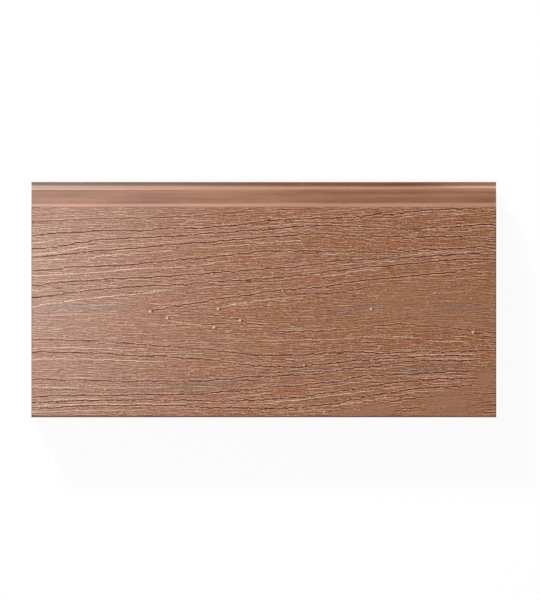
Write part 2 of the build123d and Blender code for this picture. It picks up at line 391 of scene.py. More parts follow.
# Height as a share of the highest, then the points of each edge.
raised_edges = [
    (0.40, [(35, 227.2), (54, 226.4)]),
    (0.40, [(77, 224.8), (90, 224.2), (108, 224.6), (129, 224)]),
    (0.60, [(184, 220.9), (198, 220.6), (216, 220.3)]),
    (0.40, [(296, 214.2), (307, 214.2), (331, 211.4), (354, 209.2)]),
    (0.55, [(397, 218.1), (407, 217.2), (413, 215.7), (428, 214.2), (451, 213.9), (474, 213.4)]),
    (0.60, [(247, 227.6), (256, 226.4), (268, 226.6), (276, 225.3), (293, 223.7), (301, 223.1)]),
    (0.60, [(273, 233.1), (282, 232), (291, 230.6), (309, 229.8), (320, 229.2)]),
    (0.50, [(457, 231.4), (468, 230.9), (479, 229.4), (487, 228.1)]),
    (0.80, [(31, 243.1), (44, 242), (52, 239.8), (62, 238.3), (72, 237.3)]),
    (0.45, [(72, 237.3), (89, 236.4), (104, 236), (120, 235.6)]),
    (0.90, [(31, 255), (46, 253.6), (65, 250.5), (76, 248.7), (86, 247), (99, 245)]),
    (0.60, [(99, 245), (106, 243.6), (129, 244), (144, 243.1), (168, 241.2), (187, 240.3)]),
    (0.50, [(180, 240.3), (202, 239.8), (220, 238.1), (238, 235.9), (258, 235.7), (264, 235.3)]),
    (0.60, [(180, 248.7), (198, 247.3), (223, 246.1), (244, 244.8), (263, 243.4), (280, 241.4), (309, 240.1)]),
    (0.90, [(31, 260.6), (48, 259.4), (68, 259.2)]),
    (0.85, [(82, 258.4), (90, 257.9), (104, 255.5), (131, 253.9), (151, 252.6), (175, 250.5)]),
    (0.85, [(31, 276.4), (54, 274.8), (82, 273.1), (101, 271.7), (124, 269.6), (149, 268.1), (187, 266.6)]),
    (0.90, [(199, 265.5), (212, 263.7), (220, 261.4), (235, 260.3)]),
    (0.50, [(246, 259.8), (256, 258.1), (278, 256.1), (297, 254.8)]),
    (0.75, [(398, 255.9), (420, 253.7), (432, 252.7), (454, 252), (479, 252)]),
    (0.45, [(447, 259), (456, 257.8), (465, 257.6)]),
    (0.60, [(286, 272.6), (303, 270.4), (320, 269), (331, 267), (346, 264.3), (368, 262.1), (398, 261.3)]),
    (0.85, [(321, 277), (340, 273.9), (357, 271.2), (367, 270), (384, 269.3)]),
    (0.50, [(398, 281.4), (409, 282), (426, 282.3)]),
    (0.60, [(436, 281.4), (447, 280.1), (457, 279.3), (465, 277.8), (473, 276.4)]),
    (0.45, [(471, 282.4), (480, 281.6), (489, 280.6)]),
    (0.80, [(31, 290.9), (42, 289.3), (51, 288.2), (68, 287)]),
    (0.60, [(155, 287), (185, 286.5)]),
    (0.60, [(193, 289), (200, 287.9), (209, 287), (238, 286.1)]),
    (0.50, [(244, 283.9), (258, 283.4), (271, 282.2)]),
    (0.50, [(339, 293.7), (347, 291.4), (357, 288.9)]),
    (1.00, [(31, 308), (37, 306.4), (44, 304.2), (66, 301.7), (78, 299.4), (95, 297.9), (112, 295.7), (139, 294.3),
            (151, 292.2), (167, 289.8)]),
    (0.95, [(220, 308), (224, 305.9), (240, 303.7), (253, 301.7), (268, 299.3), (282, 298.1), (296, 296.4)]),
    (0.40, [(31, 314.8), (46, 315.7), (86, 313.8), (118, 313.1)]),
    (0.90, [(172, 321), (182, 322.5), (198, 325), (207, 326.5)]),
    (0.80, [(225, 330.5), (232, 331.5)]),
    (0.90, [(268, 325.5), (271, 327), (271.5, 329)]),
    (0.60, [(262, 340.3), (290, 340), (330, 339.3), (352, 338), (362, 336.7), (388, 336.7)]),
    (0.90, [(388, 336.5), (403, 336.5), (424, 339)]),
    (0.90, [(427, 340.8), (455, 341.5), (467, 341.5), (472, 344.5)]),
    (0.70, [(32, 347.7), (60, 347.5), (90, 347.8), (104, 349), (121, 349.5), (145, 350)]),
    (0.75, [(31, 359.6), (56, 359), (90, 359.4), (116, 360.2), (142, 361.2), (170, 361.5)]),
    (0.55, [(285, 359.6), (330, 358.3)]),
    (0.80, [(405, 355.2), (445, 354.2), (482, 354)]),
    (0.80, [(425, 359.2), (475, 358.8)]),
    (0.60, [(203, 366.2), (228, 367.3)]),
    (0.60, [(235, 368.3), (262, 370.3)]),
    (0.50, [(370, 369), (395, 367), (415, 364.5)]),
    (0.70, [(33, 380.9), (42, 380.7)]),
    (0.70, [(60, 382), (71, 381.7)]),
    (0.70, [(72, 378.2), (95, 378)]),
    (0.70, [(31, 386.9), (60, 387.5), (83, 387.6)]),
    (0.60, [(95, 386.6), (130, 387.5), (171, 387)]),
    (0.60, [(320, 388), (340, 385), (360, 381.8), (385, 379)]),
    (0.55, [(400, 377.3), (425, 376.3), (475, 375.3)]),
    (0.60, [(420, 384), (445, 383), (465, 382)]),
    (0.75, [(49, 399.2), (71, 399), (108, 398.9)]),
    (0.60, [(225, 397.5), (250, 395), (278, 391.5)]),
    (0.90, [(268, 402), (300, 400), (325, 396), (345, 394.2), (362, 391.5), (380, 389.6)]),
    (0.70, [(380, 389.6), (396, 387.6), (410, 385.6)]),
    (0.80, [(35, 406), (62, 404.6), (101, 404.2), (140, 404), (188, 404)]),
    (0.50, [(213, 405.4), (245, 403.9), (281, 403.7)]),
    (0.85, [(330, 405.7), (355, 403), (380, 398.4), (392, 396.5)]),
    (0.70, [(392, 395.6), (405, 393.4), (420, 391.3), (455, 390)]),
    (0.60, [(31, 412), (52, 411.6), (75, 410.8), (112, 410), (146, 410)]),
    (0.60, [(187, 411.5), (212, 411.5)]),
    (0.50, [(225, 412.5), (240, 412)]),
    (0.50, [(270, 412.5), (300, 411.5), (325, 408.5)]),
    (0.50, [(400, 413), (425, 411.5)]),
]
BANK_HEIGHT = 0.015
BANK_LENGTH = 1.2  # over which a bank sinks away again
banks, crest_highlights = np.zeros_like(cuts), np.zeros_like(cuts)
from_crest = np.full_like(cuts, FAR)


def raise_edge(height, along, across):
    """Raises a bank whose crest runs along a torn line."""
    columns, place, run, ends = torn_line(along, across)
    window, away = near(place, columns, 5, FAR)
    # How strong the edge is: its height, and the painted highlight on its crest
    paleness = ends * random.uniform(0.65, 1, run.max() + 1)[run] * height / BANK_HEIGHT
    bank = np.clip(0.5 - away / WALL, 0, 1) * np.exp(np.minimum(away, 0) / BANK_LENGTH)
    banks[window] = np.maximum(banks[window], BANK_HEIGHT * paleness * bank)
    note_line(from_crest, ((crest_highlights, CORE),), window, away, paleness)


for share, points in raised_edges:
    raise_edge(BANK_HEIGHT * share, *on_board(points))
print(len(short_cuts), "short cuts and", len(raised_edges), "raised edges")

# %% [markdown]
# Between the grooves the surface is never flat: thousands of short fibres stand up or have been pulled out.
# They lie along the grain, so each column first learns how steeply the grooves beside it climb. The same slopes
# give every point a place across the flow of the grain, which the finishes use later to stretch their patterns.

# %% Follow the flow of the grain
SOFTEN = 9  # columns over which the slopes are averaged

slope = np.zeros_like(cuts)
for c in range(COLUMNS):
    beside = sorted((p[c], s[c]) for p, s, span in zip(line_places, line_slopes, line_spans) if span[c])
    places = [y_face[0]] + [p for p, _ in beside] + [y_face[-1]]
    slopes = [0.0] + [s for _, s in beside] + [0.0]
    slope[:, c] = np.interp(y_face, places, slopes)
padded = np.pad(slope, ((0, 0), (SOFTEN // 2, SOFTEN // 2)), "edge")
slope = sum(padded[:, k : k + COLUMNS] for k in range(SOFTEN)) / SOFTEN

flow = np.zeros_like(cuts)
middle = COLUMNS // 2
gaps = np.diff(x_fine)
flow[:, middle] = y_face
for turn, columns in ((-1, range(middle, COLUMNS - 1)), (1, range(middle, 0, -1))):
    for c in columns:
        level = y_face + turn * slope[:, c] * gaps[c if turn < 0 else c - 1]
        inside = level.clip(y_face[0], y_face[-1])
        flow[:, c - turn] = np.interp(inside, y_face, flow[:, c]) + level - inside
print("steepest grain", round(float(np.abs(slope).max()), 2))

# %% [markdown]
# Along that flow lie hundreds of fine cuts and edges, too many to draw. They are made like the drawn ones, by
# chance, wherever they keep clear of a line that is there already.

# %% Fine cuts and edges by chance
FINE_TRIES = 6000
FINE_SHORT, FINE_LONG = 4.0, 35.0
FINE_DEPTH = 0.12
CLEAR = 1.7  # from a fine line to the next

fine_lines = 0
for attempt in range(FINE_TRIES):
    x0 = random.uniform(-LENGTH / 2, LENGTH / 2 - FINE_SHORT)
    y0 = random.uniform(y_face[0] + 1, y_face[-1] - 1)
    long = FINE_SHORT * (FINE_LONG / FINE_SHORT) ** random.random()
    r, c = np.searchsorted(y_face, y0), np.searchsorted(x_fine, x0)
    along, across = np.array([x0, x0 + long]), np.array([y0, y0 + slope[r, c] * long])
    columns = np.flatnonzero((x_fine > along[0]) & (x_fine < along[1]))
    beside = np.searchsorted(y_face, np.interp(x_fine[columns], along, across)).clip(0, len(y_face) - 1)
    gap = np.minimum(np.abs(from_cut[beside, columns]), np.abs(from_crest[beside, columns]))
    if len(columns) < 3 or gap.min() < CLEAR:
        continue
    fine_lines += 1
    if attempt % 3:
        cut_groove(FINE_DEPTH * random.uniform(0.25, 1) ** 2, along, across)
    else:
        raise_edge(BANK_HEIGHT * random.uniform(0.2, 0.7), along, across)
print(fine_lines, "fine cuts and edges")

# %% [markdown]
# Between all these lines short fibres stand up or have been pulled out, too low to show as lines. Here and there
# a torn fibre sticks up as a pale fleck with its own small shadow, which the finish also paints beside it. The
# largest flecks are listed, the rest placed by chance, and the face keeps how far off the nearest fleck is.

# %% Lay the short fibres and the torn flecks
FIBRES = 6000
FIBRE_SHORT, FIBRE_LONG = 2.5, 8.0
FIBRE_HALF_WIDTH = 0.34
FIBRE_RELIEF = 0.007  # how far most fibres stand up or lie in

fibres = np.zeros_like(cuts)
for _ in range(FIBRES):
    x0 = random.uniform(-LENGTH / 2 - 4, LENGTH / 2 + 4)
    y0 = random.uniform(y_face[0], y_face[-1])
    half = 0.5 * FIBRE_SHORT * (FIBRE_LONG / FIBRE_SHORT) ** random.random()
    height = FIBRE_RELIEF * random.normal(-0.3, 1)
    columns = np.flatnonzero(np.abs(x_fine - x0) < half)
    if not len(columns):
        continue
    across = x_fine[columns] - x0
    tilt = slope[np.searchsorted(y_face, y0).clip(0, len(y_face) - 1), columns[0]]
    window, away = near(y0 + tilt * across, columns, 1.2, 1.2)
    fibres[window] += height * (1 - (across / half) ** 2) * np.exp(-((away / FIBRE_HALF_WIDTH) ** 2))
print("fibre relief", round(float(fibres.std()), 3), "mm")

torn_flecks = [
    (150, 311), (162, 315), (167, 318), (214, 327), (218, 309), (240, 320.5), (371, 309), (473, 332), (304, 365.5),
    (189, 374.5), (297, 319), (334, 371), (350, 377.5), (379, 347.5), (386, 290), (377, 298), (428, 229.5),
    (435, 229.5), (449, 228.5), (437.5, 259.5), (460, 270.5), (324, 412.5), (272.5, 273), (327.5, 235.5),
    (282.5, 291), (322, 392.5), (310, 397), (491, 347), (449, 287.5), (141, 332.5), (78, 385.5), (56, 370.5),
    (169, 372), (208, 373.5), (428, 302), (403, 300.5), (46.5, 387.5), (105, 389.5), (122, 412), (197.5, 409.5),
]
CHANCE_FLECKS = 360
LARGE_FLECKS = 9  # the first of those listed
FLECK_HEIGHT = 0.28
FLECK_HALF_WIDTH = 0.45

flecks, fleck_size = np.zeros_like(cuts), np.zeros_like(cuts)
fleck_x, fleck_y = np.full_like(cuts, 9.0), np.full_like(cuts, 9.0)
by_hand = [(x, y, 0.85 if i < LARGE_FLECKS else 0.42) for i, (x, y) in enumerate(zip(*on_board(torn_flecks)))]
by_chance = [(random.uniform(-LENGTH / 2, LENGTH / 2), random.uniform(y_face[0], y_face[-1]),
              0.1 + 0.3 * random.random() ** 2) for _ in range(CHANCE_FLECKS)]
for x, y, size in by_chance + by_hand:
    beside_x, beside_y = x_fine - x, (y_face - y)[:, None]
    reach = (np.abs(beside_x) < 4) & (np.abs(beside_y) < 2.5)
    fleck_x = np.where(reach, beside_x, fleck_x)
    fleck_y = np.where(reach, beside_y, fleck_y)
    close = (beside_x > -1.6) & (beside_x < 3.2) & (np.abs(beside_y) < 1.8)
    fleck_size = np.where(reach, size * close, fleck_size)
    tip = np.abs(beside_x).argmin()
    spot = FLECK_HEIGHT * size * np.exp(-((beside_y[:, 0] / FLECK_HALF_WIDTH) ** 2))
    flecks[:, tip] = np.maximum(flecks[:, tip], spot)
print(len(torn_flecks), "flecks by hand and", CHANCE_FLECKS, "by chance")

# %% [markdown]
# The roller didn't press evenly. A quiet stretch lies to the right of the heart, and in two places near the
# right end it hardly touched the face. A few long streaks have a greyer bloom, where the pigment mixed badly.

# %% Quiet places and grey streaks
# Middle, half length and half height in the picture, then the share of the relief that is left.
quiet_places = [
    ((430, 303), 90, 20, 0.6),
    ((487, 378), 11, 14, 0.15),
    ((450, 403), 30, 5, 0.25),
    ((362, 411.5), 32, 3, 0.3),
]
# Middle, half length and half height in the picture, then how grey.
grey_streaks = [
    ((80, 309), 60, 4.5, 0.5), ((185, 386), 75, 3.5, 0.5), ((330, 369), 70, 4, 0.4), ((425, 370), 58, 3.5, 0.6),
    ((345, 311), 48, 3.5, 0.45), ((465, 308.5), 40, 4, 0.4), ((60, 393), 35, 2, 0.3),
]
pixel = LENGTH / PICTURE_WIDE


def patch(middle, half_length, half_height):
    """A soft oval on the face, one in its middle, that lies along the flow of the grain."""
    along, across = on_board([middle])
    nearest = np.abs(x_fine - along[0]).argmin()
    level = np.interp(across[0], y_face, flow[:, nearest])
    out = ((x_fine - along[0]) / (half_length * pixel)) ** 2 + ((flow - level) / (half_height * pixel)) ** 2
    return np.exp(-(out**2))


strength = np.ones_like(cuts)
for middle, half_length, half_height, left in quiet_places:
    strength *= 1 - (1 - left) * patch(middle, half_length, half_height)
grey = np.zeros_like(cuts)
for middle, half_length, half_height, amount in grey_streaks:
    grey = np.maximum(grey, amount * patch(middle, half_length, half_height))

edge_fade = np.clip((y_face - y_face[0]) / 1.0, 0, 1) * np.clip((y_face[-1] - y_face) / 0.8, 0, 1)
press = strength.copy()
strength *= edge_fade[:, None]
emboss = np.minimum(strength * (cuts + lips + banks + fibres) + flecks * edge_fade[:, None], FACE_SINK)
for amount in (painted_cut_shade, painted_rim_highlights, crest_highlights):
    amount *= strength
# Painted highlights on the lips, and a little paler where the roller hardly pressed
highlight_and_pale = np.maximum(highlight_and_pale * edge_fade[:, None], 0.07 * (1 - press))
fleck_size *= edge_fade[:, None]
print("grain from", emboss.min().round(2), "to", emboss.max().round(2), "mm")

# %% [markdown]
# ## The skin
#
# The rows become one closed mesh: the face, the smooth steps of the tongue, the groove, the back, the sawn ends
# and the six hollow cells that run through the board. Each vertex remembers which row it is in, so that the
# unrolled map later knows where it goes.

# %% Rows to vertices
ARRIS_DROP = 0.3  # how far the saw has eased the end of the face

emboss[:, [0, -1]] = np.minimum(emboss[:, [0, -1]], 0) - ARRIS_DROP
# Painted shade on the tip of the tongue, as a share of dark brown
TIP_SHADE = 0.45
# Painted reflection on the slopes of the steps, as a share of pale, and what the painted sheen at the left end adds
# to it
SLOPE_REFLECTION = 0.08
SLOPE_LEFT_SHEEN = 0.18
# Painted shade on the slopes: least on their brightest line and growing away from it
SLOPE_LEAST_SHADE = 0.28
SLOPE_SHADE = 1.2
# How much paler the tongue gets at its right end
TONGUE_PALE = 0.2
# How much darker the tongue and the land get in a stretch right of the middle
TONGUE_DARKENING = 0.2
LAND_DARKENING = 0.1
# How strong the painted sheen is along the board, most at the left end
left_sheen = np.interp(x_fine, (-LENGTH / 2, -0.2 * LENGTH, 0.05 * LENGTH, 0.25 * LENGTH), (0.9, 0.42, 0.1, 0))
# Paleness of the tongue, growing towards the right end
right_end = np.interp(x_fine, (0.3 * LENGTH, 0.42 * LENGTH), (0, 1))
bright = np.interp(x_fine, (-LENGTH / 2, LENGTH / 2), (0.8, 0.3))
# The stretch right of the middle where the tongue and the land are darker
darker_stretch = np.interp(x_fine, (0.1 * LENGTH, 0.25 * LENGTH, 0.33 * LENGTH, 0.42 * LENGTH), (0, 1, 1, 0))

vertices, vertex_row, row_ids = [], [], []
face_marks = {"fibre": fibres * strength, "from_cut": from_cut, "bite": painted_cut_shade, "rim_highlight": painted_rim_highlights,
              "from_crest": from_crest, "paleness": crest_highlights, "highlight_and_pale": highlight_and_pale, "grey": grey, "press": press}
marks = {name: [] for name in face_marks}
grain_of, fleck_of = [], []
for i, place in enumerate(rows):
    on_face = i in face_rows
    r = i - face_rows[0]
    on_front = place.x > SHOULDER_CREST and place.y > TONGUE_FRONT - NEARLY
    on_slope = on_front and (place.y > LAND_LEVEL + 0.2 or TONGUE_FRONT + 0.6 < place.y < LAND_LEVEL - 0.2)
    step_foot = LAND_LEVEL if place.y > LAND_LEVEL else TONGUE_FRONT
    climb = (place.y - step_foot) / STEP_DROP
    at_tip = place.x > TONGUE_TIP - TIP_ROUND and place.y > TONGUE_FRONT
    on_tongue = on_front and place.x > STEP_FOOT - 1 and not on_slope
    on_land = on_front and not on_tongue and not on_slope
    ids = {}
    for c in range(0, COLUMNS, 1 if on_face else WIDE_STEP):
        ids[c] = len(vertices)
        vertices.append((x_fine[c], place.x, place.y + (emboss[r, c] if on_face else 0.0)))
        grain_of.append((x_fine[c], flow[r, c] if on_face else place.x, 0.0))
        fleck_of.append((fleck_x[r, c], fleck_y[r, c], fleck_size[r, c]) if on_face else (9.0, 9.0, 0.0))
        darkening = darker_stretch[c] * (TONGUE_DARKENING * on_tongue + LAND_DARKENING * on_land)
        # Painted shade on a slope, least on its brightest line
        painted_slope_shade = min(SLOPE_LEAST_SHADE + SLOPE_SHADE * (climb - bright[c]) ** 2, 0.6) * on_slope
        # Dark share on the steps: painted shade on the tip and the slopes, and the darker stretch
        other = {"bite": max(TIP_SHADE * at_tip, painted_slope_shade, darkening),
                 # Pale on the slopes is painted reflection, more at the left end; grey on the tongue is painted
                 # sheen, strongest at the left end
                 "highlight_and_pale": (SLOPE_REFLECTION + SLOPE_LEFT_SHEEN * left_sheen[c]) * on_slope, "grey": left_sheen[c] * on_tongue,
                 "paleness": TONGUE_PALE * right_end[c] * on_tongue}
        for name, values in face_marks.items():
            marks[name].append(values[r, c] if on_face else other.get(name, 0.0))
        vertex_row.append(i)
    row_ids.append(ids)
print(len(vertices), "vertices on the outside")

# %% Faces between the rows
EMBOSSED, EXTRUDED, SAWN = 0, 1, 2
faces, face_finish, face_strip = [], [], []
for i, ids in enumerate(row_ids):
    after = row_ids[(i + 1) % len(rows)]
    fine = len(ids) == COLUMNS and len(after) == COLUMNS
    step = 1 if fine else WIDE_STEP
    for c in range(0, COLUMNS - 1, step):
        low_side = [ids[k] for k in range(c, c + step + 1) if k in ids]
        high_side = [after[k] for k in range(c, c + step + 1) if k in after]
        faces.append(low_side + high_side[::-1])
        face_finish.append(EMBOSSED if fine else EXTRUDED)
        face_strip.append(i)
strip_lengths = [(after - here).length for here, after in zip(rows, rows[1:] + rows[:1])]
print(len(faces), "faces on the outside")

# %% Hollow cells and sawn ends
CELL_COUNT = 6
CELL_ROUND = 2.5
FACE_WALL = 5.0
BACK_WALL = 4.0
WEB = 5.0
EDGE_WALL = 4.5

cell_start = LOWER_EDGE + GROOVE_DEPTH + EDGE_WALL
cell_end = SHOULDER_FOOT - EDGE_WALL
cell_pitch = (cell_end - cell_start + WEB) / CELL_COUNT
cell_low, cell_high = BACK_WALL, THICKNESS - FACE_WALL
cell_rings = []
for n in range(CELL_COUNT):
    left = cell_start + n * cell_pitch
    right = left + cell_pitch - WEB
    ring = rounded([(left, cell_low, CELL_ROUND), (left, cell_high, CELL_ROUND),
                    (right, cell_high, CELL_ROUND), (right, cell_low, CELL_ROUND)])
    first_strip = len(strip_lengths)
    ends = []
    for x in (x_fine[0], x_fine[-1]):
        ends.append(list(range(len(vertices), len(vertices) + len(ring))))
        vertices.extend((x, p.x, p.y) for p in ring)
        vertex_row.extend(first_strip + k for k in range(len(ring)))
        grain_of.extend((x, p.x, 0.0) for p in ring)
        fleck_of.extend([(9.0, 9.0, 0.0)] * len(ring))
    for k, here in enumerate(ring):
        j = (k + 1) % len(ring)
        faces.append([ends[0][k], ends[0][j], ends[1][j], ends[1][k]])
        face_finish.append(EXTRUDED)
        face_strip.append(first_strip + k)
        strip_lengths.append((ring[j] - here).length)
    cell_rings.append(ends)

ENDS_STRIP = len(strip_lengths)
for end, c in ((0, 0), (1, COLUMNS - 1)):
    loops = [[ids[c] for ids in row_ids]] + [ends[end] for ends in cell_rings]
    flat = [k for loop in loops for k in loop]
    for triangle in tessellate_polygon([[Vector(vertices[k][1:]) for k in loop] for loop in loops]):
        faces.append([flat[k] for k in triangle])
        face_finish.append(SAWN)
        face_strip.append(ENDS_STRIP)

mesh = bpy.data.meshes.new("cladding_board_skin")
mesh.from_pydata([tuple(v * MM for v in p) for p in vertices], [], faces)
mesh.polygons.foreach_set("material_index", face_finish)
print(len(mesh.vertices), "vertices,", sum(len(f) - 2 for f in faces), "triangles")

# %% Turn the faces outward and keep the torn edges crisp
SHARP = math.radians(35)
TORN = math.radians(9)  # an edge of the grain that is steeper stays crisp

work = bmesh.new()
work.from_mesh(mesh)
bmesh.ops.recalc_face_normals(work, faces=work.faces)
open_edges = sum(1 for e in work.edges if len(e.link_faces) != 2)
for f in work.faces:
    f.smooth = True
for e in work.edges:
    fine = all(f.material_index == EMBOSSED for f in e.link_faces)
    e.smooth = e.calc_face_angle(0) < (TORN if fine else SHARP)
work.to_mesh(mesh)
work.free()
print("open edges", open_edges)

# %% [markdown]
# The finishes need to know where each point lies along and across the grain, how high its fibre stands, and how
# dark, worn and grey it is, so these become attributes of the mesh. A map unrolls the skin like paper, strip by strip, with the
# show face largest, for whoever wants to paint the board or bake its finishes.

# %% Attributes and the unrolled map
for name, values in (("grain", grain_of), ("fleck", fleck_of)):
    layer = mesh.attributes.new(name, "FLOAT_VECTOR", "POINT")
    layer.data.foreach_set("vector", np.array(values, np.float32).ravel())
for name, values in marks.items():
    values += [0.0] * (len(vertices) - len(values))
    mesh.attributes.new(name, "FLOAT", "POINT").data.foreach_set("value", np.array(values, np.float32))

EDGE_SCALE = 0.35  # of the edges and the back on the map, beside the face
CELL_SCALE = 0.08
MAP_GAP = 1.5

scale = np.full(len(strip_lengths), CELL_SCALE)
scale[: len(rows)] = EDGE_SCALE
scale[face_rows[0] : face_rows[-1]] = 1
heights = np.append(np.array(strip_lengths) * scale, THICKNESS)
starts = np.concatenate(([0], np.cumsum(heights)[:-1]))
starts[len(rows) :] += MAP_GAP
starts[ENDS_STRIP] += MAP_GAP
map_height = starts[-1] + heights[-1]

loop_vertex = np.empty(len(mesh.loops), np.int32)
mesh.loops.foreach_get("vertex_index", loop_vertex)
loop_strip = np.repeat(face_strip, [len(f) for f in faces])
place = np.array(vertices)[loop_vertex]
on_near_row = np.array(vertex_row)[loop_vertex] == loop_strip
across_map = (place[:, 0] + LENGTH / 2) / LENGTH
up_map = starts[loop_strip] + np.where(on_near_row, 0, heights[loop_strip])
at_end = loop_strip == ENDS_STRIP
end_map = (place[:, 1] - LOWER_EDGE) / WIDTH * 0.49 + 0.51 * (place[:, 0] > 0)
across_map[at_end] = end_map[at_end]
up_map[at_end] = starts[ENDS_STRIP] + place[at_end, 2]
unrolled = mesh.uv_layers.new(name="OFBake")
unrolled.uv.foreach_set("vector", np.stack((across_map, up_map / map_height), 1).astype(np.float32).ravel())
print("the face takes", round(float(heights[face_rows[0] : face_rows[-1]].sum() / map_height), 2), "of the map")

board = bpy.data.objects.new("composite_board", mesh)
bpy.context.collection.objects.link(board)
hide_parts("cladding_board")
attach(board, "root")

# %% [markdown]
# ## Finishes
#
# The board is one material, high-density polyethylene filled with wood flour, but its surfaces were made in
# three ways: pressed, extruded and sawn. Each gets its own finish. One small function adds a node, another
# turns the written sRGB colours into the linear ones that Blender works with, and a third makes the stretched
# pattern that all fibres share, from their length and width in millimetres.

# %% Helpers for the finishes
def linear(hex_colour):
    """An sRGB colour such as 96694F as linear RGBA."""
    parts = [int(hex_colour[k : k + 2], 16) / 255 for k in (0, 2, 4)]
    return [p / 12.92 if p <= 0.04045 else ((p + 0.055) / 1.055) ** 2.4 for p in parts] + [1]


def add(tree, kind, inputs=None, **settings):
    """A new node: settings are its own, and each input is a value or the socket that it is linked from."""
    made = tree.nodes.new(kind)
    for name, value in settings.items():
        setattr(made, name, value)
    for name, value in (inputs or {}).items():
        if isinstance(value, bpy.types.NodeSocket):
            tree.links.new(value, made.inputs[name])
        else:
            made.inputs[name].default_value = value
    return made


def start_finish(name):
    """An empty material with its shader and the place of each point along and across the grain."""
    finish = bpy.data.materials.new(name)
    finish.use_nodes = True
    tree = finish.node_tree
    tree.nodes.clear()
    shader = add(tree, "ShaderNodeBsdfPrincipled")
    add(tree, "ShaderNodeOutputMaterial", {"Surface": shader.outputs["BSDF"]})
    metres = add(tree, "ShaderNodeTexCoord").outputs["Object"]
    place = add(tree, "ShaderNodeVectorMath", {0: metres, "Scale": 1 / MM}, operation="SCALE").outputs[0]
    return finish, tree, shader, place


def fibre_pattern(tree, place, long, wide, detail):
    """A pattern of fibres, each about so long and so wide in millimetres, at places along and across."""
    size = (1 / long, 1 / wide, 1 / wide)
    stretched = add(tree, "ShaderNodeVectorMath", {0: place, 1: size}, operation="MULTIPLY")
    return add(tree, "ShaderNodeTexNoise", {0: stretched.outputs[0], "Scale": 1, "Detail": detail}).outputs[0]


# %% [markdown]
# ### The pressed face
#
# Pressed warm, so the skin is half matt. The pigment isn't even: long reddish and olive streaks lie in the brown,
# darker hairlines wander between them, and the finest fibres are only about as wide as a pixel of the picture.
# They are real fibres of a tenth of a millimetre, drawn coarser so that they show, each painted lit on one side and
# shaded on the other. Painted light and shade that follow the height of the fibres on the mesh come on top, in
# stops, weaker where the roller pressed less, so that light and dark keep the colour of the pigment.

# %% Pressed face of wood-plastic composite
FACE_DARK = "83543A"
FACE_PALE = "8B5E42"
FACE_RED = "8A5237"
FACE_OLIVE = "885F3F"
FACE_GREY = "795848"
# Dark brown of the painted shade in cuts, beside crests and beside flecks, on the tongue tip and slopes, and of the
# darker stretch of tongue and land
SHADE_BROWN = "4E1600"
# Pale of the painted highlights on crests, rims and lips, of the wood-flour specks, and of the paler right end of
# the tongue
HIGHLIGHT_AND_FLOUR_PALE = "F0D0BE"
# Pale of the wood flour, and of the painted reflection on the slopes
FLOUR_AND_REFLECTION = "F4ECEA"
TORN_FIBRE = "DCC3B6"


